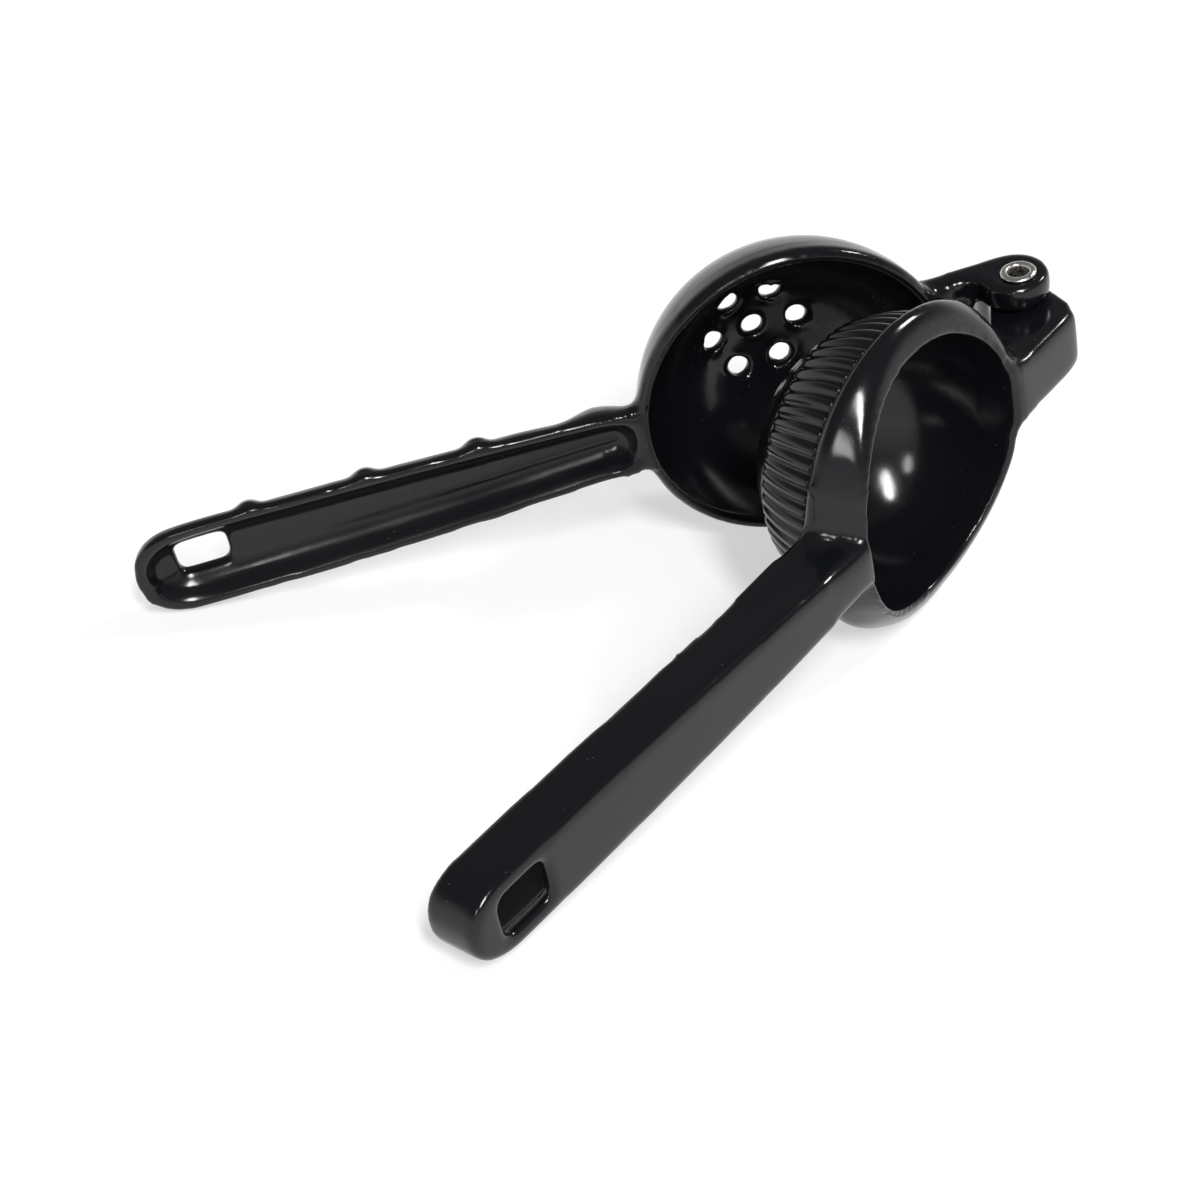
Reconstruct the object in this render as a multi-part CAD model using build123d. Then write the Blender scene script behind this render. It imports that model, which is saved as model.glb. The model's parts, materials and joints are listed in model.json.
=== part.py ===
from build123d import *
import os
from math import cos, degrees, hypot, radians, sin, sqrt, tan, tanh

# Hinged lemon squeezer: a strainer arm and a press arm, both castings, on one tubular rivet.
# Each arm is drawn flat: +X runs from the pin to the handle end, Y lies along the pin,
# and +Z is the arm's outer side. The pin axis is the arm's Y axis.

# Overall sizes, in millimetres and degrees
arm_length = 195.0            # pin axis to handle end, on both arms
opening = 37.2                # angle between the two arms as the squeezer lies
rim_to_pin = 15.7             # pin axis to the near side of the bowl's rim
beyond = 30.0                 # cutters and blanks run this far past what they cut
seam_angle = 33.0             # where turned solids start, between holes and between grooves

# Strainer bowl: a ball's underside with a short upright band at the rim
bowl_rim_radius = 35.0
bowl_rim_height = 1.7         # rim face above the pin axis
bowl_lip_height = 3.2         # band round the outside of the rim
bowl_lip_step = 0.5
bowl_ball_height = 3.9        # centre of the ball above the pin axis
bowl_wall = 2.8
bowl_edge_round = 1.4         # rounding of the rim's inner edge
hole_radius = 2.25
hole_shift = 1.5               # the ring of holes lies this far towards the handle
hole_ring_radius = 9.6
hole_ring_count = 6
hole_flare = 0.7              # rounding of each hole's mouth, as a cone

# Strainer handle: half-oval section, open round-bottomed trough on its face
strainer_root_half_width = 7.94
strainer_middle_half_width = 10.13
strainer_tip_half_width = 10.8
strainer_face_root = 1.8      # height of the handle's face at the root
strainer_face_tip = 1.0       # and at the tip
strainer_back_depth = 9.0
end_length = 12.0             # the rounded end of either handle
strainer_end_power = 2.3      # squareness of the rounded end
handle_bury = 4.0             # the handle starts this far inside the bowl's rim
root_swell_length = 14.3      # the back is fuller from the bowl to here
root_swell_fade = 5.0
root_swell_depth = 3.2
trough_depth = 6.2
trough_wall = 2.7
trough_gap = 0.7              # web between the bowl's rim and the trough
trough_start_length = 5.0     # rounded start of the trough
trough_start_power = 3.0
end_angles = (28, 48, 64, 77) # places of the sections round a rounded end
strainer_slot_length = 11.0
strainer_slot_width = 7.6
strainer_slot_inset = 15.0    # slot's middle from the handle's end
slot_corner = 2.0
ridge_insets = (76.0, 52.0, 27.0)
ridge_width = 7.0
ridge_rise = 1.6              # over the mean of the handle's half width and depth
ridge_bury = 0.8
ridge_top_drop = 0.6          # the ridges stop this far below the face

# Clevis on the strainer arm
ear_gap = 7.6                 # pin centre plane to the inner face of an ear
ear_thickness = 6.2
ear_eye_radius = 7.6
ear_eye_x = 0.8
ear_eye_z = -1.2
ear_arm_top = -2.6
ear_arm_taper = 0.4
ear_arm_rise = 0.8
ear_neck = 3.5                # the arm's level top starts this far past the eye
ear_blend = (0.7, 0.6)        # its short ramp down from the eye
ear_bury = 6.0
ear_round = 1.0
web_clearance = 0.5            # under the closed hinge block
web_front_clearance = 1.3      # round the front of the block when it is wide open
web_overlap = 1.0              # the web runs this far into both ears

# Press arm: ribbed dome, collar and cup
dome_clearance = 1.1          # closed, between the ribs and the bowl's hollow
dome_lift = 0.3               # centre of the dome above the centre of the bowl's ball
dome_wall = 2.8
rib_count = 60
rib_step = 0.95               # drop from the ribs' crests to the smooth cap
groove_depth = 0.8
groove_width = 1.2
groove_end_gap = 0.3          # the grooves stop this far below the ledge
rib_end_height = -12.0        # the ribs stop here, and the cap below is smooth
collar_seat = 2.8             # closed, from the bowl's rim to the collar's widest place
ledge_drop = 2.4              # the collar's underside rises this much from dome to edge
collar_turn = 1.5             # rounding above the collar's widest place
collar_lean = 30.0            # slope of the collar's outside, inwards
collar_neck = 1.4             # the lean stops this far outside the cup
collar_face_middle = 14.4     # height of the cup's lip over the cup's axis
collar_face_slope = 0.058     # it rises towards the handle
collar_saddle_radius = 88.0   # and falls away to both sides
collar_round = 1.6

# Press handle: a channel open towards the strainer
press_root_half_width = 5.6
press_middle_half_width = 7.84
press_tip_half_width = 8.6
press_face_root = 16.5        # height of the flat outer face at the root
press_face_tip = 13.6
press_side_height = 11.8
press_end_power = 2.5
press_edge_round = 1.5
channel_wall = 2.4
channel_web = 2.8
channel_inset = 4.3           # from the handle's root to the channel
press_slot_length = 11.8
press_slot_width = 9.4
press_slot_inset = 13.4
gusset_proud = 0.9
gusset_outline = ((-5.7, 3.0), (-5.7, 9.2), (7.3, 8.6), (20.3, 6.9), (36.3, 3.6))

# Hinge block on the press arm, between the ears
block_clearance = 0.3
block_face = 13.1
block_nose = 1.7              # the flat face runs this far past the pin
block_front = (-4.2, 7.6)     # the front's arc passes through here
block_boss_radius = 6.6
block_boss_angles = (160, 250, 310)
block_low = 3.2               # underside over the strainer's rim
block_ramp = 6.5
block_bury = 8.0
block_round = 1.0

# Tubular rivet
rivet_radius = 3.0
rivet_clearance = 0.05        # radial, in the block and in both ears
rivet_bore_radius = 2.2
rivet_head_radius = 3.9
rivet_head_height = 0.6
rivet_mouth_rise = 0.15

# Places and sizes that follow from the values above
cup_centre = rim_to_pin + bowl_rim_radius
handle_root = cup_centre + bowl_rim_radius
end_start = arm_length - end_length
handle_middle = (handle_root + end_start) / 2
root_swell_end = handle_root + root_swell_length
strainer_slot_centre = arm_length - strainer_slot_inset
press_slot_centre = arm_length - press_slot_inset
bowl_foot_height = bowl_rim_height - bowl_lip_height
bowl_ball_radius = hypot(bowl_rim_radius - bowl_lip_step, bowl_ball_height - bowl_foot_height)
hollow_radius = bowl_ball_radius - bowl_wall
dome_radius = hollow_radius - dome_clearance
dome_ball_height = bowl_ball_height + dome_lift
cup_radius = dome_radius - dome_wall
collar_radius = bowl_rim_radius
collar_low = bowl_rim_height + collar_seat
ledge_foot = collar_low - ledge_drop


def quadratic(position, stations, values):
    """Value at a position of the parabola through three stations."""
    total = 0.0
    for own, value in zip(stations, values):
        term = value
        for other in stations:
            if other != own:
                term = term * (position - other) / (own - other)
        total = total + term
    return total


def end_share(travel, power):
    """1 where a rounded end starts and 0 at its tip, along a superellipse."""
    return (1.0 - min(1.0, max(0.0, travel)) ** power) ** (1.0 / power)


def strainer_face(position):
    slope = (strainer_face_tip - strainer_face_root) / (end_start - handle_root)
    return strainer_face_root + slope * (position - handle_root)


def press_face(position):
    slope = (press_face_tip - press_face_root) / (end_start - handle_root)
    return press_face_root + slope * (position - handle_root)


def half_width(position, values):
    """Half width of a handle: a parabola through its root, middle and tip values."""
    return quadratic(min(position, end_start), (handle_root, handle_middle, end_start), values)


def strainer_half_width(position):
    values = (strainer_root_half_width, strainer_middle_half_width, strainer_tip_half_width)
    return half_width(position, values)


def press_half_width(position):
    return half_width(position, (press_root_half_width, press_middle_half_width, press_tip_half_width))


def press_plan(start, inset):
    """Closed plan of the press handle or its channel, with curved sides and a superellipse end."""
    side_end = end_start - inset
    length = arm_length - inset - side_end
    tip_width = press_half_width(side_end) - inset
    side = [start + (side_end - start) * i / 4 for i in range(5)]
    side = [(x, press_half_width(x) - inset) for x in side]
    end = []
    for step in range(1, 5):
        angle = radians(90 - step * 90 / 5)
        power = 2 / press_end_power
        end.append((side_end + length * cos(angle) ** power, tip_width * sin(angle) ** power))
    upper_side = Spline(side)
    slope = upper_side % 1
    upper_end = Spline([side[-1], *end, (arm_length - inset, 0)], tangents=[(slope.X, slope.Y), (0, -1)])
    upper = Curve() + [upper_side, upper_end]
    lower = mirror(upper, about=Plane.XZ)
    root = Line(side[0], (start, -side[0][1]))
    return make_face([*upper.edges(), *lower.edges(), root])


def cross_plane(position, height):
    """Plane across the arm, with its x along Y and its y along Z."""
    return Plane(origin=(position, 0, height), x_dir=(0, 1, 0), z_dir=(1, 0, 0))


def half_oval(position, half_width, depth):
    arc = EllipticalCenterArc((0, 0), half_width, depth, start_angle=180, arc_size=180)
    face = make_face([arc, Line((half_width, 0), (-half_width, 0))])
    return cross_plane(position, strainer_face(position)) * face


def slot_prism(centre, length, width, height_from, height_to):
    outline = Pos(centre, 0, height_from) * RectangleRounded(length, width, slot_corner)
    return extrude(outline, height_to - height_from)


def ball_arc(radius, centre_height, low_height, high_height):
    """Arc of a ball's outline between two heights. At its lowest point it meets the ball's axis."""
    heights = (low_height, (low_height + high_height) / 2, high_height)
    points = [(sqrt(max(0.0, radius**2 - (h - centre_height) ** 2)), h) for h in heights]
    return ThreePointArc(*points)


def turned(edges):
    """Solid of revolution about the cup's axis, its seam clear of the holes and grooves."""
    return Pos(cup_centre, 0, 0) * Rot(0, 0, seam_angle) * revolve(Plane.XZ * make_face(edges), Axis.Z)


def bowl_outer():
    low = bowl_ball_height - bowl_ball_radius
    wall = ball_arc(bowl_ball_radius, bowl_ball_height, low, bowl_foot_height)
    lines = Polyline(
        wall @ 1,
        (bowl_rim_radius, bowl_foot_height + bowl_lip_step),
        (bowl_rim_radius, bowl_rim_height),
        (0, bowl_rim_height),
        wall @ 0,
    )
    return turned([wall, *lines.edges()])


def bowl_inner():
    """The hollow of the bowl, with a rounded mouth that runs up past the rim."""
    mouth_height = bowl_rim_height - bowl_edge_round
    wall = ball_arc(hollow_radius, bowl_ball_height, bowl_ball_height - hollow_radius, mouth_height)
    start = wall @ 1
    half_way = bowl_edge_round * cos(radians(45))
    middle = (start.X + bowl_edge_round - half_way, mouth_height + half_way)
    mouth = ThreePointArc(start, middle, (start.X + bowl_edge_round, bowl_rim_height))
    top = bowl_rim_height + beyond
    lines = Polyline(mouth @ 1, (start.X + bowl_edge_round, top), (0, top), wall @ 0)
    return turned([wall, mouth, *lines.edges()])


def drain_holes():
    places = [(0.0, 0.0)]
    for step in range(hole_ring_count):
        angle = radians(step * 360 / hole_ring_count)
        places.append((hole_ring_radius * cos(angle), hole_ring_radius * sin(angle)))
    cutters = []
    for x, y in places:
        x = x + hole_shift
        floor = bowl_ball_height - sqrt(hollow_radius**2 - x * x - y * y)
        bore = Pos(cup_centre + x, y, floor) * Cylinder(hole_radius, 4 * bowl_wall)
        flare = Cone(hole_radius, hole_radius + 2 * hole_flare, 2 * hole_flare)
        cutters.append(bore + Pos(cup_centre + x, y, floor) * flare)
    return cutters


def back_depth(position):
    """Depth of the handle's back below its face: fuller beside the bowl, with a soft step."""
    middle = root_swell_end - root_swell_fade / 2
    share = 0.5 - 0.5 * tanh(4 * (position - middle) / root_swell_fade)
    return strainer_back_depth + root_swell_depth * share


def strainer_handle():
    fade = root_swell_fade
    stations = [handle_root - handle_bury]
    stations += [root_swell_end + share * fade for share in (-2, -1, -0.5, 0, 1)]
    level = root_swell_end + fade
    stations += [level + (end_start - level) * i / 5 for i in range(1, 6)]
    stations += [end_start + end_length * sin(radians(a)) for a in end_angles]
    sections = []
    for x in stations:
        share = end_share((x - end_start) / end_length, strainer_end_power)
        sections.append(half_oval(x, strainer_half_width(x) * share, back_depth(x) * share))
    tip = Vertex(arm_length, 0, strainer_face(arm_length))
    return loft([*sections, tip])


def grip_ridges():
    """Rounded bands round the back of the handle, turned about an axis in its face."""
    half = ridge_width / 2
    low = -(strainer_back_depth - ridge_bury)
    ridges = []
    for inset in ridge_insets:
        place = arm_length - inset
        face = strainer_face(place)
        high = -(strainer_half_width(place) + strainer_back_depth) / 2 - ridge_rise
        crest = ThreePointArc((place - half, low), (place, high), (place + half, low))
        lines = Polyline(crest @ 1, (place + half, 0), (place - half, 0), crest @ 0)
        band = revolve(Plane.XZ * make_face([crest, *lines.edges()]), Axis.X)
        ridges.append(split(Pos(0, 0, face) * band, Plane.XY.offset(face - ridge_top_drop), keep=Keep.BOTTOM))
    return ridges


def trough_section(position, share):
    """Half-oval floor of the trough with upright sides that run up past the handle's face."""
    width = (strainer_half_width(position) - trough_wall) * share
    arc = EllipticalCenterArc((0, 0), width, trough_depth * share, start_angle=180, arc_size=180)
    sides = Polyline((width, 0), (width, trough_wall), (-width, trough_wall), (-width, 0))
    return cross_plane(position, strainer_face(position)) * make_face([arc, *sides.edges()])


def handle_trough():
    start = handle_root + trough_gap
    level_start = start + trough_start_length
    level_end = end_start - trough_wall
    stations = [level_start + (level_end - level_start) * i / 5 for i in range(6)]
    sections = [trough_section(x, 1.0) for x in stations]
    for angle in end_angles:
        travel = sin(radians(angle))
        before = end_share(travel, trough_start_power)
        sections.insert(0, trough_section(level_start - travel * trough_start_length, before))
        after = end_share(travel, strainer_end_power)
        sections.append(trough_section(level_end + travel * end_length, after))
    return loft(sections)


def ear_outline():
    """Side outline of one ear: the eye round the rivet and the arm back to the bowl."""
    reach = rim_to_pin + ear_bury
    low = ear_eye_z - ear_eye_radius
    edge = ear_eye_x + ear_eye_radius
    eye = Pos(ear_eye_x, ear_eye_z) * Circle(ear_eye_radius)
    arm = Polyline(
        (ear_eye_x, low),
        (reach, low + ear_arm_taper),
        (reach, ear_arm_top + ear_arm_rise),
        (edge + ear_neck, ear_arm_top),
        (edge + ear_blend[0], ear_arm_top + ear_blend[1]),
        (ear_eye_x, ear_eye_z),
        close=True,
    )
    return eye + make_face(arm.edges())


def ears():
    outline = Plane.XZ * ear_outline()
    both = []
    for side in (-1, 1):
        ear = extrude(outline, -side * ear_thickness)
        ear = Pos(0, side * ear_gap, 0) * ear
        outer = ear.faces().sort_by(Axis.Y)[-1 if side > 0 else 0]
        ear = fillet(outer.edges(), ear_round)
        both.append(ear)
    return both


def boss_point(angle):
    return (block_boss_radius * cos(radians(angle)), block_boss_radius * sin(radians(angle)))


def block_ramp_end():
    return (rim_to_pin + block_bury / 2 - block_ramp / 2, block_low)


def ear_web():
    """Web between the ears, under the closed hinge block and clear of its front when it is open."""
    foot = boss_point(block_boss_angles[-1])
    end = block_ramp_end()
    run = hypot(end[0] - foot[0], end[1] - foot[1])
    drop = ((end[1] - foot[1]) / run * web_clearance, -(end[0] - foot[0]) / run * web_clearance)
    low = ear_eye_z - ear_eye_radius
    reach = rim_to_pin + ear_bury
    level = bowl_rim_height - bowl_lip_step
    share = (level - foot[1] - drop[1]) / (end[1] - foot[1])
    under_ramp = Polyline(
        (foot[0] + drop[0], foot[1] + drop[1]),
        (foot[0] + drop[0] + share * (end[0] - foot[0]), level),
        (reach, level),
        (reach, low),
        (0, low),
        (0, foot[1] + drop[1]),
        close=True,
    )
    sweep = hypot(*block_front) + web_front_clearance
    web = extrude(Plane.XZ * make_face(under_ramp.edges()), ear_gap + web_overlap, both=True)
    return web - Rot(90, 0, 0) * Cylinder(sweep, 4 * ear_gap)


def pin_bore():
    return Rot(90, 0, 0) * Cylinder(rivet_radius + rivet_clearance, 2 * (ear_gap + ear_thickness) + beyond)


def make_strainer_arm():
    arm = bowl_outer() + strainer_handle() + grip_ridges() + ears() + ear_web()
    arm = arm - bowl_inner() - drain_holes() - handle_trough() - pin_bore()
    face = strainer_face(strainer_slot_centre)
    slot = slot_prism(strainer_slot_centre, strainer_slot_length, strainer_slot_width, face - beyond, face)
    return arm - slot


def ribbed_dome():
    """Dome to the crests of the ribs, with a smaller smooth cap below their ends."""
    cap_radius = dome_radius - rib_step
    cap = ball_arc(cap_radius, dome_ball_height, dome_ball_height - cap_radius, rib_end_height - rib_step)
    crest = ball_arc(dome_radius, dome_ball_height, rib_end_height, ledge_foot)
    step = Line(cap @ 1, crest @ 0)
    lines = Polyline(crest @ 1, (collar_radius, collar_low), (0, collar_low), cap @ 0)
    return turned([cap, step, crest, *lines.edges()])


def rib_grooves():
    """One groove between two ribs, repeated round the dome."""
    top = ledge_foot - groove_end_gap
    floor = ball_arc(dome_radius - groove_depth, dome_ball_height, rib_end_height - 2 * rib_step, top)
    foot = floor @ 0
    outer = dome_radius + 2 * groove_depth
    lines = Polyline(floor @ 1, (outer, top), (outer, foot.Y), foot)
    profile = Plane.XZ * make_face([floor, *lines.edges()])
    groove = Pos(0, groove_width / 2, 0) * extrude(profile, groove_width)
    return [Pos(cup_centre, 0, 0) * spot * groove for spot in PolarLocations(0, rib_count)]


def collar_blank():
    """The collar before its lip is shaped: rounded at its widest place, then leaning inwards."""
    lean = radians(collar_lean)
    turn_centre = collar_radius - collar_turn
    turn_points = [(turn_centre + collar_turn * cos(a), collar_low + collar_turn * sin(a))
                   for a in (0, lean / 2, lean)]
    turn = ThreePointArc(*turn_points)
    neck = cup_radius + collar_neck
    neck_height = turn_points[2][1] + (turn_points[2][0] - neck) / tan(lean)
    top = collar_face_middle + beyond
    lines = Polyline(turn @ 1, (neck, neck_height), (neck, top), (0, top), (0, collar_low), turn @ 0)
    return turned([turn, *lines.edges()])


def saddle():
    """Everything below the saddle surface that the collar's lip lies on."""
    roll = Rot(0, 90, 0) * Cylinder(collar_saddle_radius, 4 * collar_radius)
    roll = Pos(0, 0, -collar_saddle_radius) * roll
    return Pos(cup_centre, 0, collar_face_middle) * Rot(0, -degrees(collar_face_slope), 0) * roll


def collar():
    body = collar_blank() & saddle()
    lip = [e for e in body.edges() if e.center().Z > collar_low + collar_turn and e.length > collar_radius]
    return fillet(lip, collar_round)


def cup_hollow():
    wall = ball_arc(cup_radius, dome_ball_height, dome_ball_height - cup_radius, dome_ball_height)
    top = collar_face_middle + beyond
    lines = Polyline(wall @ 1, (cup_radius, top), (0, top), wall @ 0)
    return turned([wall, *lines.edges()])


def side_slab(start, low_drop, high_drop):
    """Slab between two heights below the press handle's sloping face, from start past its end."""
    last = arm_length + beyond
    side = Polyline(
        (start, press_face(start) - low_drop),
        (last, press_face(last) - low_drop),
        (last, press_face(last) - high_drop),
        (start, press_face(start) - high_drop),
        close=True,
    )
    return extrude(Plane.XZ * make_face(side.edges()), beyond, both=True)


def press_handle():
    """Channel-section handle: plan outline cut to the side profile, its face's edges rounded."""
    start = cup_centre + cup_radius + collar_neck / 2
    blank = extrude(press_plan(start, 0.0), 2 * press_face_root)
    handle = blank & side_slab(start - beyond, press_side_height, 0.0)
    face = handle.faces().sort_by(Axis.Z)[-1]
    return fillet(face.edges().filter_by(lambda e: e.center().X > start + 1), press_edge_round)


def press_channel():
    outline = press_plan(handle_root + channel_inset, channel_wall)
    blank = extrude(Pos(0, 0, -beyond) * outline, beyond + 2 * press_face_root)
    return blank & side_slab(handle_root, press_side_height + beyond, channel_web)


def root_gussets():
    """Thickened lower edge of both sides of the handle, fading out along it."""
    outline = [(handle_root + x, z) for x, z in gusset_outline]
    face = Plane.XZ * make_face(Polyline(*outline, close=True).edges())
    return extrude(face, press_half_width(outline[2][0]) + gusset_proud, both=True)


def hinge_block():
    reach = rim_to_pin + block_bury
    nose = (-block_nose, block_face)
    boss_points = [boss_point(angle) for angle in block_boss_angles]
    front = ThreePointArc(nose, block_front, boss_points[0])
    boss = ThreePointArc(*boss_points)
    lines = Polyline(boss @ 1, block_ramp_end(), (reach, block_low), (reach, block_face), nose)
    profile = Plane.XZ * make_face([front, boss, *lines.edges()])
    block = extrude(profile, ear_gap - block_clearance, both=True)
    face = block.faces().sort_by(Axis.Z)[-1]
    return fillet(face.edges().filter_by(lambda e: e.center().X < reach - 1), block_round)


def make_press_arm():
    arm = ribbed_dome() + collar() + press_handle() + root_gussets() + hinge_block()
    arm = arm - rib_grooves() - cup_hollow() - press_channel() - pin_bore()
    low = press_face(press_slot_centre) - press_side_height
    return arm - slot_prism(press_slot_centre, press_slot_length, press_slot_width, low, low + beyond)


def make_rivet():
    """Tubular rivet, its ends rolled over the two ears."""
    seat = ear_gap + ear_thickness
    rolled = ThreePointArc(
        (rivet_head_radius, seat),
        ((rivet_head_radius + rivet_bore_radius) / 2, seat + rivet_head_height),
        (rivet_bore_radius, seat + rivet_mouth_rise),
    )
    inside = [rolled @ 1, (rivet_bore_radius, 0), (rivet_radius, 0), (rivet_radius, seat), rolled @ 0]
    lines = Polyline(*inside)
    half = revolve(Plane.XZ * make_face([rolled, *lines.edges()]), Axis.Z)
    return Rot(90, 0, 0) * (half + mirror(half, about=Plane.XY))


def rim_points(centre, along, radius):
    """Points on the lower half of a round rim whose plane holds the pin's direction."""
    points = []
    for step in range(721):
        angle = radians(step / 4)
        points.append(centre + along * (radius * cos(angle)) - Vector(0, 0, radius * sin(angle)))
    return points


def handle_end_points():
    """Points on the lower edge of the strainer handle's rounded end."""
    points = []
    for step in range(201):
        x = end_start + end_length * step / 200
        share = end_share(step / 200, strainer_end_power)
        points.append(Vector(x, strainer_face(x), -strainer_half_width(x) * share))
    return points


def resting_plane():
    """The surface under the squeezer, which lies on both rims and the strainer handle's end."""
    press_along = Vector(1, 0, 0).rotate(Axis.Z, opening)
    press_out = Vector(0, 1, 0).rotate(Axis.Z, opening)
    press_centre = press_along * cup_centre + press_out * collar_low
    supports = [
        rim_points(Vector(cup_centre, bowl_rim_height, 0), Vector(1, 0, 0), bowl_rim_radius),
        rim_points(press_centre, press_along, collar_radius),
        handle_end_points(),
    ]
    up = Vector(0, 0, 1)
    for _ in range(30):
        feet = [min(points, key=up.dot) for points in supports]
        normal = (feet[1] - feet[0]).cross(feet[2] - feet[0]).normalized()
        up = normal if normal.Z > 0 else -normal
    along = Vector(1, 0, 0) - up * up.X
    return Plane(origin=feet[0], x_dir=along, z_dir=up)


def main():
    os.makedirs("parts", exist_ok=True)
    upright = Rot(-90, 0, 0)
    swing = Rot(0, 0, opening)
    pieces = {
        "strainer_arm": upright * make_strainer_arm(),
        "press_arm": swing * upright * make_press_arm(),
        "hinge_rivet": upright * make_rivet(),
    }
    ground = resting_plane()
    laid = {name: ground.to_local_coords(piece) for name, piece in pieces.items()}
    box = Compound(children=[piece.solid() for piece in laid.values()]).bounding_box()
    centring = Pos(-box.center().X, -box.center().Y, -box.min.Z)
    for name, piece in laid.items():
        export_step(centring * piece, f"parts/{name}.step")
        print(name, len(piece.solids()), round(piece.volume))
    spots = {
        "pin": Location((0, 0, 0)),
        "strainer slot": upright * Pos(strainer_slot_centre, 0, strainer_face(strainer_slot_centre)),
        "press slot": swing * upright * Pos(press_slot_centre, 0, press_face(press_slot_centre)),
        "bowl": upright * Pos(cup_centre, 0, bowl_rim_height),
        "cup": swing * upright * Pos(cup_centre, 0, collar_face_middle),
    }
    for name, spot in spots.items():
        place = Plane(centring * ground.location.inverse() * spot)
        print(name, "at", [round(v, 4) for v in place.origin], "along", [round(v, 6) for v in place.z_dir])


main()
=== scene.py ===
import json
import math

import bmesh
import bpy
from mathutils import Matrix, Vector

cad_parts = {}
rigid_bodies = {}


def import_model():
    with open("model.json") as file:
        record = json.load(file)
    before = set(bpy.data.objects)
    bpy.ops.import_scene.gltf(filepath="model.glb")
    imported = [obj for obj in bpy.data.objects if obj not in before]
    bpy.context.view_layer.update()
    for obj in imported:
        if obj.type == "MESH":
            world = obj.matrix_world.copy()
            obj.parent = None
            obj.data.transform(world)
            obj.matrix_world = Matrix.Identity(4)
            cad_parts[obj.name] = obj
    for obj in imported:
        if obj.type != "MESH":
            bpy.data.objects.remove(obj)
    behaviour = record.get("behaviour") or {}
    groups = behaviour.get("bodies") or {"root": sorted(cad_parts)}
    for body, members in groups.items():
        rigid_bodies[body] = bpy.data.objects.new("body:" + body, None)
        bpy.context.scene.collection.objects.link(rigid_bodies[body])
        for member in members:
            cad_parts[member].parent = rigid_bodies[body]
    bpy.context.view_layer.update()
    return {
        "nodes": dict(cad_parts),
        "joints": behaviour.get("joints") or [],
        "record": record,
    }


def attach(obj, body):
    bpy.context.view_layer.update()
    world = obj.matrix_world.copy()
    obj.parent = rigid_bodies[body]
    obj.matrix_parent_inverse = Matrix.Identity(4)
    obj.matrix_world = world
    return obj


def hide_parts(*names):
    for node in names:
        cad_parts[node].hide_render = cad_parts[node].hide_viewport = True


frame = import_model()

mm = 0.001
print("stage: frame loaded")

# places, taken from the frame
joint = frame["joints"][0]
mounts = {mount["name"]: mount for mount in frame["record"]["mounts"]}
pinPlace = Vector(joint["pos_m"])
pinAxis = Vector(joint["axis"]).normalized()


def armPlace(outward):
    # millimetre frame of one arm: x from pin to handle end, y along the pin, z outwards
    outward = Vector(outward).normalized()
    along = outward.cross(pinAxis).normalized()
    turn = Matrix((along, -pinAxis, outward)).transposed().to_4x4()
    return Matrix.Translation(pinPlace) @ turn @ Matrix.Scale(mm, 4)


strainerPlace = armPlace(mounts["strainer_hang_slot"]["axis"])
pressPlace = armPlace(mounts["press_hang_slot"]["axis"])
cupMiddle = 50.7                                  # pin to the middle of bowl and dome
domePlace = pressPlace @ Matrix.Translation((cupMiddle, 0, 0))


def deselectAll():
    if bpy.context.object and bpy.context.object.mode != "OBJECT":
        bpy.ops.object.mode_set(mode="OBJECT")
    bpy.ops.object.select_all(action="DESELECT")


def pick(piece):
    deselectAll()
    piece.select_set(True)
    bpy.context.view_layer.objects.active = piece


def withModifier(piece, kind, **values):
    pick(piece)
    bpy.ops.object.modifier_add(type=kind)
    modifier = piece.modifiers[-1]
    for name, value in values.items():
        setattr(modifier, name, value)
    bpy.ops.object.modifier_apply(modifier=modifier.name)


def openEdit(piece):
    pick(piece)
    bpy.ops.object.mode_set(mode="EDIT")
    bpy.ops.mesh.select_mode(type="VERT")
    bpy.ops.mesh.select_all(action="DESELECT")


def closeEdit():
    bpy.ops.object.mode_set(mode="OBJECT")


def pickPoints(piece, wanted):
    # in edit mode: selects the points whose place is wanted
    mesh = bmesh.from_edit_mesh(piece.data)
    for point in mesh.verts:
        point.select = wanted(point.co)
    mesh.select_flush_mode()
    bmesh.update_edit_mesh(piece.data)


rubShare = 0.5                                    # of the way to its neighbours' middle, each round


def easeZone(piece, zone):
    # rubs one zone of an arm down, as a casting's fillets and corners are
    start, end = zone.get("from", -math.inf), zone.get("to", math.inf)
    above, below = zone.get("above", -math.inf), zone.get("below", math.inf)
    side = zone.get("side", math.inf)             # from the middle plane, both ways
    outside = zone.get("outside", 0.0)            # radius round the middle of bowl and dome

    def inZone(p):
        return (start < p.x < end and abs(p.y) < side and above < p.z < below
                and math.hypot(p.x - cupMiddle, p.y) > outside)

    openEdit(piece)
    pickPoints(piece, inZone)
    bpy.ops.mesh.vertices_smooth(factor=rubShare, repeat=zone["rounds"])
    closeEdit()


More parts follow.
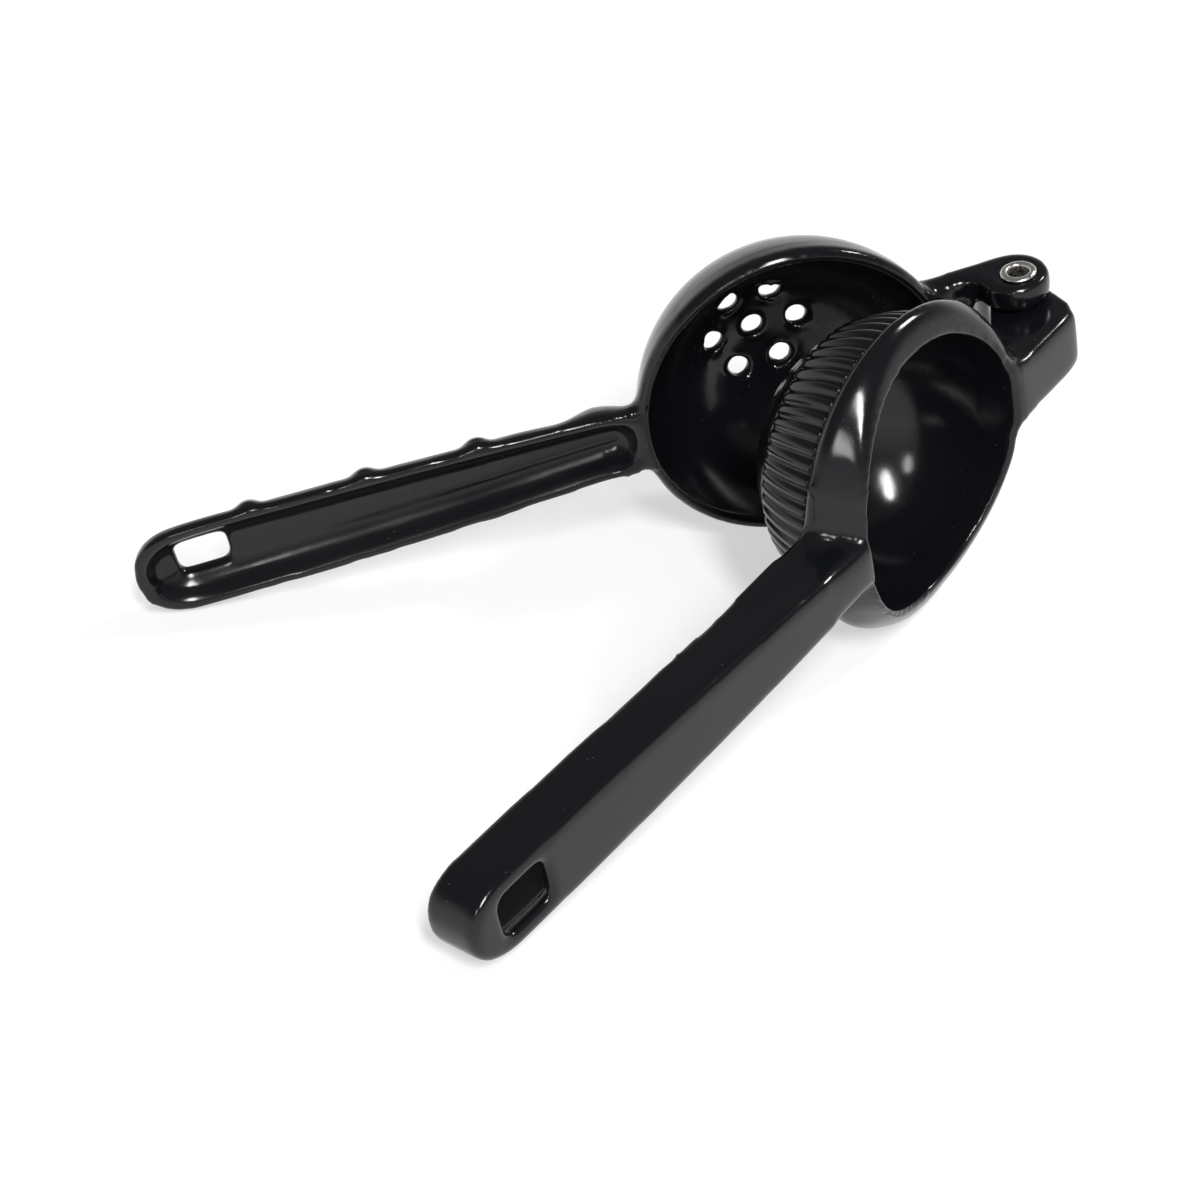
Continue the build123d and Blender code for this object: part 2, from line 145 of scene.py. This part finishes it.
def turnedRings(name, rings, sides):
    # one circle, drawn on ring by ring as (radius, height), the last ring joined to the first
    deselectAll()
    radius, height = rings[0]
    bpy.ops.mesh.primitive_circle_add(vertices=sides, radius=radius, location=(0, 0, height))
    piece = bpy.context.active_object
    piece.name = name
    bpy.ops.object.transform_apply(location=True, rotation=True, scale=True)
    openEdit(piece)
    bpy.ops.mesh.select_all(action="SELECT")
    for nextRadius, nextHeight in rings[1:]:
        share = nextRadius / radius
        bpy.ops.mesh.extrude_region_move(
            TRANSFORM_OT_translate={"value": (0, 0, nextHeight - height)})
        bpy.ops.transform.resize(value=(share, share, 1), center_override=(0, 0, 0))
        radius, height = nextRadius, nextHeight
    bpy.ops.mesh.select_all(action="DESELECT")
    bpy.ops.mesh.select_non_manifold()            # the first and the last ring
    bpy.ops.mesh.bridge_edge_loops()
    bpy.ops.mesh.select_all(action="SELECT")
    bpy.ops.mesh.normals_make_consistent(inside=False)
    closeEdit()
    return piece


def settle(piece, place):
    # takes a piece out of an arm's own millimetres, or into them with the place inverted
    pick(piece)
    piece.matrix_world = place @ piece.matrix_world
    bpy.ops.object.transform_apply(location=True, rotation=True, scale=True)


def castingCopy(nodeName, pieceName):
    # the solid's skin as the start of a modelled casting, with its doubles merged
    pick(frame["nodes"][nodeName])
    bpy.ops.object.duplicate()
    piece = bpy.context.active_object
    piece.name = pieceName
    piece.parent = None
    for key in list(piece.keys()):
        del piece[key]
    piece.data.materials.clear()
    openEdit(piece)
    bpy.ops.mesh.select_all(action="SELECT")
    bpy.ops.mesh.remove_doubles(threshold=castingSkin["doubles"] * mm)
    bpy.ops.mesh.normals_make_consistent(inside=False)
    closeEdit()
    return piece


white = (1.0, 1.0, 1.0, 1.0)
mixFirst, mixSecond, mixResult = 6, 7, 2          # colour sockets of a Mix node


def newGroup(name, inputs, output):
    group = bpy.data.node_groups.new(name, "ShaderNodeTree")
    for socketName, value in inputs.items():
        socket = group.interface.new_socket(socketName, in_out="INPUT", socket_type="NodeSocketFloat")
        socket.default_value = value
    group.interface.new_socket(output, in_out="OUTPUT", socket_type="NodeSocketFloat")
    return group


def addNode(tree, kind, spot, **values):
    node = tree.nodes.new(kind)
    node.location = spot
    for name, value in values.items():
        setattr(node, name, value)
    return node


def join(tree, source, target):
    tree.links.new(source, target)


reliefInside = {
    "waveDetail": 1.5,
    "peelDetail": 2.0,
}


def buildSkinRelief():
    # slow waves of the casting under the paint, and the finer peel of the paint itself
    group = newGroup("skinRelief", {"waveScale": 60.0, "peelScale": 500.0, "peelShare": 0.2}, "height")
    given = addNode(group, "NodeGroupInput", (-900, 0))
    coords = addNode(group, "ShaderNodeTexCoord", (-900, 300))
    waves = addNode(group, "ShaderNodeTexNoise", (-600, 200))
    waves.inputs["Detail"].default_value = reliefInside["waveDetail"]
    peel = addNode(group, "ShaderNodeTexNoise", (-600, -100))
    peel.inputs["Detail"].default_value = reliefInside["peelDetail"]
    blend = addNode(group, "ShaderNodeMix", (-300, 100), data_type="FLOAT")
    result = addNode(group, "NodeGroupOutput", (0, 100))
    join(group, coords.outputs["Object"], waves.inputs["Vector"])
    join(group, coords.outputs["Object"], peel.inputs["Vector"])
    join(group, given.outputs["waveScale"], waves.inputs["Scale"])
    join(group, given.outputs["peelScale"], peel.inputs["Scale"])
    join(group, given.outputs["peelShare"], blend.inputs["Factor"])
    join(group, waves.outputs["Fac"], blend.inputs["A"])
    join(group, peel.outputs["Fac"], blend.inputs["B"])
    join(group, blend.outputs["Result"], result.inputs["height"])
    return group


specksInside = {
    "patchScale": 0.21,                           # scale of the patches' noise against the cells' scale
    "patchFrom": 0.6,
    "patchFull": 0.68,
}


def buildDustSpecks():
    # few small spots: the middles of cells, kept only where a slower noise is high
    group = newGroup("dustSpecks", {"scale": 400.0, "share": 0.06, "soft": 0.05}, "mask")
    given = addNode(group, "NodeGroupInput", (-900, 0))
    coords = addNode(group, "ShaderNodeTexCoord", (-900, 300))
    cells = addNode(group, "ShaderNodeTexVoronoi", (-600, 200))
    patches = addNode(group, "ShaderNodeTexNoise", (-600, -150))
    patches.inputs["Detail"].default_value = 0.0
    patchScale = addNode(group, "ShaderNodeMath", (-780, -150), operation="MULTIPLY")
    patchScale.inputs[1].default_value = specksInside["patchScale"]
    spotEdge = addNode(group, "ShaderNodeMath", (-600, -350), operation="ADD")
    spot = addNode(group, "ShaderNodeMapRange", (-350, 200))
    spot.inputs["To Min"].default_value = 1.0
    spot.inputs["To Max"].default_value = 0.0
    dusty = addNode(group, "ShaderNodeMapRange", (-350, -100))
    dusty.inputs["From Min"].default_value = specksInside["patchFrom"]
    dusty.inputs["From Max"].default_value = specksInside["patchFull"]
    both = addNode(group, "ShaderNodeMath", (-120, 50), operation="MULTIPLY")
    result = addNode(group, "NodeGroupOutput", (60, 50))
    join(group, coords.outputs["Object"], cells.inputs["Vector"])
    join(group, coords.outputs["Object"], patches.inputs["Vector"])
    join(group, given.outputs["scale"], cells.inputs["Scale"])
    join(group, given.outputs["scale"], patchScale.inputs[0])
    join(group, patchScale.outputs["Value"], patches.inputs["Scale"])
    join(group, given.outputs["share"], spotEdge.inputs[0])
    join(group, given.outputs["soft"], spotEdge.inputs[1])
    join(group, cells.outputs["Distance"], spot.inputs["Value"])
    join(group, given.outputs["share"], spot.inputs["From Min"])
    join(group, spotEdge.outputs["Value"], spot.inputs["From Max"])
    join(group, patches.outputs["Fac"], dusty.inputs["Value"])
    join(group, spot.outputs["Result"], both.inputs[0])
    join(group, dusty.outputs["Result"], both.inputs[1])
    join(group, both.outputs["Value"], result.inputs["mask"])
    return group


skinRelief = buildSkinRelief()
dustSpecks = buildDustSpecks()


def addRelief(tree, look):
    # the relief with a finish's own values, for the bump and for where the gloss changes
    shader = tree.nodes["Principled BSDF"]
    relief = addNode(tree, "ShaderNodeGroup", (-900, -300), node_tree=skinRelief)
    for socketName in ("waveScale", "peelScale", "peelShare"):
        relief.inputs[socketName].default_value = look[socketName]
    bump = addNode(tree, "ShaderNodeBump", (-400, -300))
    bump.inputs["Strength"].default_value = look["bump"]
    bump.inputs["Distance"].default_value = look["reliefHeight"]
    gloss = addNode(tree, "ShaderNodeMapRange", (-400, 0))
    gloss.inputs["From Min"].default_value = look["glossFrom"]
    gloss.inputs["From Max"].default_value = look["glossTo"]
    gloss.inputs["To Min"].default_value = look["smooth"]
    gloss.inputs["To Max"].default_value = look["worn"]
    join(tree, relief.outputs["height"], bump.inputs["Height"])
    join(tree, bump.outputs["Normal"], shader.inputs["Normal"])
    join(tree, relief.outputs["height"], gloss.inputs["Value"])
    join(tree, gloss.outputs["Result"], shader.inputs["Roughness"])
    return relief


paintLook = {
    "black": (0.0042, 0.0046, 0.0058, 1.0),
    "dust": (0.06, 0.06, 0.063, 1.0),
    "shine": 0.36,
    "smooth": 0.12,                               # roughness of the clean gloss
    "worn": 0.2,                                  # roughness where the gloss is duller
    "glossFrom": 0.35,                            # relief height where the gloss starts to dull
    "glossTo": 0.7,
    "waveScale": 55.0,
    "peelScale": 620.0,
    "peelShare": 0.08,
    "bump": 0.5,
    "reliefHeight": 0.22 * mm,
    "speckScale": 620.0,
    "speckShare": 0.05,
    "speckSoft": 0.06,
}


def buildBlackPaint():
    material = bpy.data.materials.new("glossBlackPaint")
    material.use_nodes = True
    tree = material.node_tree
    shader = tree.nodes["Principled BSDF"]
    shader.inputs["Specular IOR Level"].default_value = paintLook["shine"]
    addRelief(tree, paintLook)
    specks = addNode(tree, "ShaderNodeGroup", (-900, 200), node_tree=dustSpecks)
    specks.inputs["scale"].default_value = paintLook["speckScale"]
    specks.inputs["share"].default_value = paintLook["speckShare"]
    specks.inputs["soft"].default_value = paintLook["speckSoft"]
    colour = addNode(tree, "ShaderNodeMix", (-400, 200), data_type="RGBA")
    colour.inputs[mixFirst].default_value = paintLook["black"]
    colour.inputs[mixSecond].default_value = paintLook["dust"]
    join(tree, specks.outputs["mask"], colour.inputs["Factor"])
    join(tree, colour.outputs[mixResult], shader.inputs["Base Color"])
    return material


steelLook = {
    "bright": (0.80, 0.79, 0.76, 1.0),
    "dull": (0.62, 0.6, 0.56, 1.0),
    "smooth": 0.16,                               # roughness of the polished plating
    "worn": 0.4,
    "glossFrom": 0.4,
    "glossTo": 0.62,
    "waveScale": 700.0,
    "peelScale": 2600.0,
    "peelShare": 0.4,
    "bump": 0.35,
    "reliefHeight": 0.01 * mm,
}


def buildRivetSteel():
    material = bpy.data.materials.new("platedRivetSteel")
    material.use_nodes = True
    tree = material.node_tree
    shader = tree.nodes["Principled BSDF"]
    shader.inputs["Metallic"].default_value = 1.0
    relief = addRelief(tree, steelLook)
    colour = addNode(tree, "ShaderNodeMix", (-400, 200), data_type="RGBA")
    colour.inputs[mixFirst].default_value = steelLook["bright"]
    colour.inputs[mixSecond].default_value = steelLook["dull"]
    join(tree, relief.outputs["height"], colour.inputs["Factor"])
    join(tree, colour.outputs[mixResult], shader.inputs["Base Color"])
    return material


blackPaint = buildBlackPaint()
rivetSteel = buildRivetSteel()
print("stage: paint and metal mixed")

# sizes in mm, places in the arm's own frame
castingSkin = {
    "doubles": 0.002,                             # points of the solid's skin this close are one
    "chamfer": 0.8,                               # sharp edges are broken by this much first
    "sharpFrom": 42.0,                            # degrees between the faces of a sharp edge
    "grain": 0.58,                                # size of the cells the skin is rebuilt in
    "rounds": 12,                                 # how far every edge is rubbed down
}


def reskin(piece, place):
    # the cells lie square to the arm, so its long edges stay straight
    settle(piece, place.inverted())
    withModifier(piece, "BEVEL", width=castingSkin["chamfer"], segments=2, limit_method="ANGLE",
                 angle_limit=math.radians(castingSkin["sharpFrom"]), use_clamp_overlap=False)
    withModifier(piece, "REMESH", mode="VOXEL", voxel_size=castingSkin["grain"], use_smooth_shade=True)
    withModifier(piece, "SMOOTH", factor=rubShare, iterations=castingSkin["rounds"])


def finishCasting(piece, body, node, place):
    settle(piece, place)
    bpy.ops.object.shade_smooth()
    piece.data.materials.append(blackPaint)
    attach(piece, body)
    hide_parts(node)


strainerZones = {
    "handleRoot": {"from": 80.0, "to": 93.0, "side": 14.0, "below": 1.0, "rounds": 24},
    "earRoot": {"from": 12.5, "to": 26.0, "side": 18.0, "below": 0.8, "rounds": 24},
    "rim": {"from": 14.0, "to": 87.0, "above": -4.2, "outside": 33.6, "rounds": 36},
    "handleRim": {"from": 90.0, "above": -2.4, "rounds": 34},
    "ears": {"to": 12.5, "rounds": 12},
}

ridgeSizes = {
    "places": (119.0, 143.0, 168.0),
    "sides": (9.6, 10.2, 10.65),                  # half width of the handle there
    "reach": 4.8,
    "lowest": -3.2,
    "rounds": 16,
}


def easeRidgeEnds(piece):
    # on the lower side the grip ridges run out before they reach the face
    for ridge, side in zip(ridgeSizes["places"], ridgeSizes["sides"]):

        def onEnd(p):
            return abs(p.x - ridge) < ridgeSizes["reach"] and p.y > side and p.z > ridgeSizes["lowest"]

        openEdit(piece)
        pickPoints(piece, onEnd)
        bpy.ops.transform.resize(value=(1, 0, 1), center_override=(ridge, side, 0))
        bpy.ops.mesh.select_more()
        bpy.ops.mesh.vertices_smooth(factor=rubShare, repeat=ridgeSizes["rounds"])
        closeEdit()


webFootSizes = {
    "from": 4.2,
    "lean": 0.9,                                  # its lower front edge reaches this much further
    "to": 20.0,
    "low": -11.4,
    "high": -9.1,
    "halfWidth": 8.6,
    "edge": 0.3,                                  # its edges are broken by this much
}


def addWebFoot(piece):
    # the web between the ears runs a little lower than the ears
    foot = webFootSizes
    deselectAll()
    middle = ((foot["from"] + foot["to"]) / 2, 0, (foot["low"] + foot["high"]) / 2)
    bpy.ops.mesh.primitive_cube_add(size=1, location=middle)
    block = bpy.context.active_object
    block.scale = (foot["to"] - foot["from"], 2 * foot["halfWidth"], foot["high"] - foot["low"])
    bpy.ops.object.transform_apply(location=True, rotation=True, scale=True)
    openEdit(block)
    pickPoints(block, lambda p: p.x < middle[0] and p.z < middle[2])
    bpy.ops.transform.translate(value=(-foot["lean"], 0, 0))
    closeEdit()
    withModifier(block, "BEVEL", width=foot["edge"], segments=2)
    settle(block, strainerPlace)
    piece.select_set(True)
    bpy.context.view_layer.objects.active = piece
    bpy.ops.object.join()


def castStrainer():
    piece = castingCopy("strainer_arm", "strainerCasting")
    addWebFoot(piece)
    reskin(piece, strainerPlace)
    easeRidgeEnds(piece)
    for zone in strainerZones.values():
        easeZone(piece, zone)
    finishCasting(piece, "strainer", "strainer_arm", strainerPlace)
    return piece


strainerCasting = castStrainer()
print("stage: strainer cast", len(strainerCasting.data.polygons))

domeSizes = {
    "ballHeight": 4.2,                            # middle of the dome's ball over the pin
    "crest": 31.02,                               # ball radius on the ribs' crests
    "seat": 29.6,                                 # ball radius of the smooth dome under the band
    "seatTop": 1.9,
    "seatFoot": -12.9,
    "seatRings": 12,
    "seatSides": 160,
    "seatReach": 2.0,                             # the cutter goes this far out past the crests
}


def ballRing(ballRadius, height):
    # radius of the dome at a height, on a ball of the given radius
    return math.sqrt(ballRadius ** 2 - (height - domeSizes["ballHeight"]) ** 2)


def evenHeights(start, end, count):
    return [start + (end - start) * step / count for step in range(count + 1)]


def clearRibZone(piece):
    # takes the coarse ribs off, down to a plain seat for the ribbed band
    top, foot = domeSizes["seatTop"], domeSizes["seatFoot"]
    rings = [(ballRing(domeSizes["seat"], height), height)
             for height in evenHeights(foot, top, domeSizes["seatRings"])]
    outer = domeSizes["crest"] + domeSizes["seatReach"]
    rings += [(outer, top), (outer, foot)]
    cutter = turnedRings("ribZone", rings, domeSizes["seatSides"])
    settle(cutter, domePlace)
    withModifier(piece, "BOOLEAN", operation="DIFFERENCE", object=cutter)
    pick(cutter)
    bpy.ops.object.delete()


pressZones = {
    "handleRoot": {"from": 80.5, "to": 93.0, "side": 15.0, "above": 2.5, "rounds": 40},
    "blockRoot": {"from": 14.0, "to": 24.0, "side": 12.0, "above": 3.0, "rounds": 20},
    "blockNose": {"to": 2.5, "above": 9.6, "rounds": 26},
    "blockFace": {"to": 20.0, "above": 10.4, "rounds": 22},
    "handle": {"from": 92.0, "rounds": 6},
    "collar": {"from": 20.0, "to": 81.0, "above": 3.4, "outside": 29.6, "rounds": 34},
}


def castPress():
    piece = castingCopy("press_arm", "pressCasting")
    clearRibZone(piece)
    reskin(piece, pressPlace)
    for zone in pressZones.values():
        easeZone(piece, zone)
    finishCasting(piece, "press", "press_arm", pressPlace)
    return piece


pressCasting = castPress()
print("stage: press cast", len(pressCasting.data.polygons))

# rings as (radius, height) round the dome's middle, in mm
bandSizes = {
    "ribs": 60,
    "top": 2.0,
    "foot": -11.9,
    "rings": 14,
    "grooveDepths": (0.84, 0.62, 0.2, 0.03, 0.0, 0.03, 0.2, 0.62),   # round one rib, groove first
    "grooveEnd": 25.0,                            # no point nearer the middle is grooved
    "endRings": ((26.05, -12.35), (25.45, -12.75), (24.4, -12.95), (23.2, -12.6)),
    "inside": ((28.6, -6.0), (29.0, 1.0)),        # the band's inside wall
    "sunk": 0.1,                                  # a point this far inside the seat isn't grooved
}


def ribbedBand():
    steps = len(bandSizes["grooveDepths"])
    sides = bandSizes["ribs"] * steps
    crest = domeSizes["crest"]
    heights = evenHeights(bandSizes["top"], bandSizes["foot"], bandSizes["rings"])
    rings = [(ballRing(crest, height), height) for height in heights]
    rings += bandSizes["endRings"] + bandSizes["inside"]
    piece = turnedRings("ribbedBand", rings, sides)
    openEdit(piece)
    pitch = math.radians(360.0 / sides)
    for step, depth in enumerate(bandSizes["grooveDepths"]):

        def onStep(p):
            radius = math.hypot(p.x, p.y)
            inSeat = radius < ballRing(domeSizes["seat"], p.z) - bandSizes["sunk"]
            around = round(math.atan2(p.y, p.x) / pitch) % steps
            return around == step and radius > bandSizes["grooveEnd"] and not inSeat

        pickPoints(piece, onStep)
        share = 1.0 - depth / crest
        bpy.ops.transform.resize(value=(share, share, 1), center_override=(0, 0, 0))
    closeEdit()
    settle(piece, domePlace)
    bpy.ops.object.shade_smooth()
    piece.data.materials.append(blackPaint)
    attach(piece, "press")
    return piece


band = ribbedBand()
print("stage: ribs cut", len(band.data.polygons))

rivetSizes = {
    "sides": 96,
    "profile": ((2.2, 12.6), (2.2, 13.7), (2.3, 14.05), (2.6, 14.3), (3.0, 14.38), (3.45, 14.28),
                (3.78, 14.02), (3.88, 13.83), (3.0, 13.82), (3.0, 12.6)),   # one rolled end
    "edge": 0.1,                                  # its sharp edges are broken by this much
}


def rivet():
    upper = list(rivetSizes["profile"])
    lower = [(radius, -height) for radius, height in reversed(upper)]
    piece = turnedRings("hollowRivet", upper + lower, rivetSizes["sides"])
    withModifier(piece, "BEVEL", width=rivetSizes["edge"], segments=2, limit_method="ANGLE")
    settle(piece, strainerPlace @ Matrix.Rotation(math.radians(90), 4, "X"))
    bpy.ops.object.shade_smooth()
    piece.data.materials.append(rivetSteel)
    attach(piece, "strainer")
    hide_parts("hinge_rivet")


rivet()
print("stage: rivet rolled")

# in metres and degrees, lens and sensor in mm
stageSizes = {
    "floorSize": 6.0,
    "floorDrop": 0.0002,
    "floorWhite": (0.55, 0.55, 0.55, 1.0),
    "floorRough": 0.9,
    "floorGlow": 0.52,                            # as a light table glows, so shadows stay faint
    "cameraPlace": (0.1002202, 0.4184539, 0.3076346),
    "cameraTarget": (0.0098414, -0.0129982, 0.0133886),
    "cameraRoll": 1.244,
    "lens": 78.82,
    "sensor": 36.0,
    "clipStart": 0.01,
    "roomGrey": 0.17,                             # overhead
    "wallWhite": 1.1,                             # at the height of the floor
    "wallRise": 0.55,                             # the wall fades into the room by here
}

softboxes = {
    "frontSoftbox": {"turn": 93.5, "rise": 48.0, "reach": 2.2, "width": 0.36, "height": 1.0, "glow": 34.0},
    "leftSoftbox": {"turn": 70.0, "rise": 31.0, "reach": 2.2, "width": 0.26, "height": 0.6, "glow": 11.0},
    "sideSoftbox": {"turn": -163.0, "rise": 46.0, "reach": 2.2, "width": 0.4, "height": 0.4, "glow": 30.0},
}


def addFloor():
    deselectAll()
    drop = stageSizes["floorDrop"]
    bpy.ops.mesh.primitive_plane_add(size=stageSizes["floorSize"], location=(0, 0, -drop))
    floor = bpy.context.active_object
    floor.name = "paleFloor"
    bpy.ops.object.transform_apply(location=True, rotation=True, scale=True)
    material = bpy.data.materials.new("paleFloorPaint")
    material.use_nodes = True
    shader = material.node_tree.nodes["Principled BSDF"]
    shader.inputs["Base Color"].default_value = stageSizes["floorWhite"]
    shader.inputs["Emission Color"].default_value = white
    shader.inputs["Emission Strength"].default_value = stageSizes["floorGlow"]
    shader.inputs["Roughness"].default_value = stageSizes["floorRough"]
    shader.inputs["Specular IOR Level"].default_value = 0.0
    floor.data.materials.append(material)


def addSoftbox(name, box):
    turn, rise = math.radians(box["turn"]), math.radians(box["rise"])
    aim = Vector((math.cos(turn) * math.cos(rise), math.sin(turn) * math.cos(rise), math.sin(rise)))
    deselectAll()
    bpy.ops.object.light_add(type="AREA", location=aim * box["reach"])
    light = bpy.context.active_object
    light.name = name
    light.data.shape = "ELLIPSE"
    light.data.size = box["width"]
    light.data.size_y = box["height"]
    light.data.energy = box["glow"] * math.pi * box["width"] * box["height"]
    light.rotation_euler = (-aim).to_track_quat("-Z", "Y").to_euler()


def addCamera():
    place = Vector(stageSizes["cameraPlace"])
    aim = Vector(stageSizes["cameraTarget"]) - place
    deselectAll()
    bpy.ops.object.camera_add(location=place)
    camera = bpy.context.active_object
    camera.name = "camera"
    roll = Matrix.Rotation(math.radians(stageSizes["cameraRoll"]), 4, aim)
    turned = roll @ aim.to_track_quat("-Z", "Y").to_matrix().to_4x4()
    camera.rotation_euler = turned.to_euler()
    camera.data.lens = stageSizes["lens"]
    camera.data.sensor_width = stageSizes["sensor"]
    camera.data.clip_start = stageSizes["clipStart"]
    bpy.context.scene.camera = camera


def addRoom():
    # a bright wall all round that fades into a dim room overhead
    room = bpy.data.worlds.new("dimRoom")
    bpy.context.scene.world = room
    room.use_nodes = True
    tree = room.node_tree
    backdrop = tree.nodes["Background"]
    backdrop.inputs["Color"].default_value = white
    coords = addNode(tree, "ShaderNodeTexCoord", (-800, 0))
    split = addNode(tree, "ShaderNodeSeparateXYZ", (-600, 0))
    fade = addNode(tree, "ShaderNodeMapRange", (-400, 0), interpolation_type="SMOOTHSTEP")
    fade.inputs["From Max"].default_value = stageSizes["wallRise"]
    fade.inputs["To Min"].default_value = stageSizes["wallWhite"]
    fade.inputs["To Max"].default_value = stageSizes["roomGrey"]
    join(tree, coords.outputs["Generated"], split.inputs["Vector"])
    join(tree, split.outputs["Z"], fade.inputs["Value"])
    join(tree, fade.outputs["Result"], backdrop.inputs["Strength"])
    bpy.context.scene.view_settings.view_transform = "Standard"


addFloor()
for boxName, boxValues in softboxes.items():
    addSoftbox(boxName, boxValues)
addRoom()
addCamera()
print("stage: floor, light and camera set")
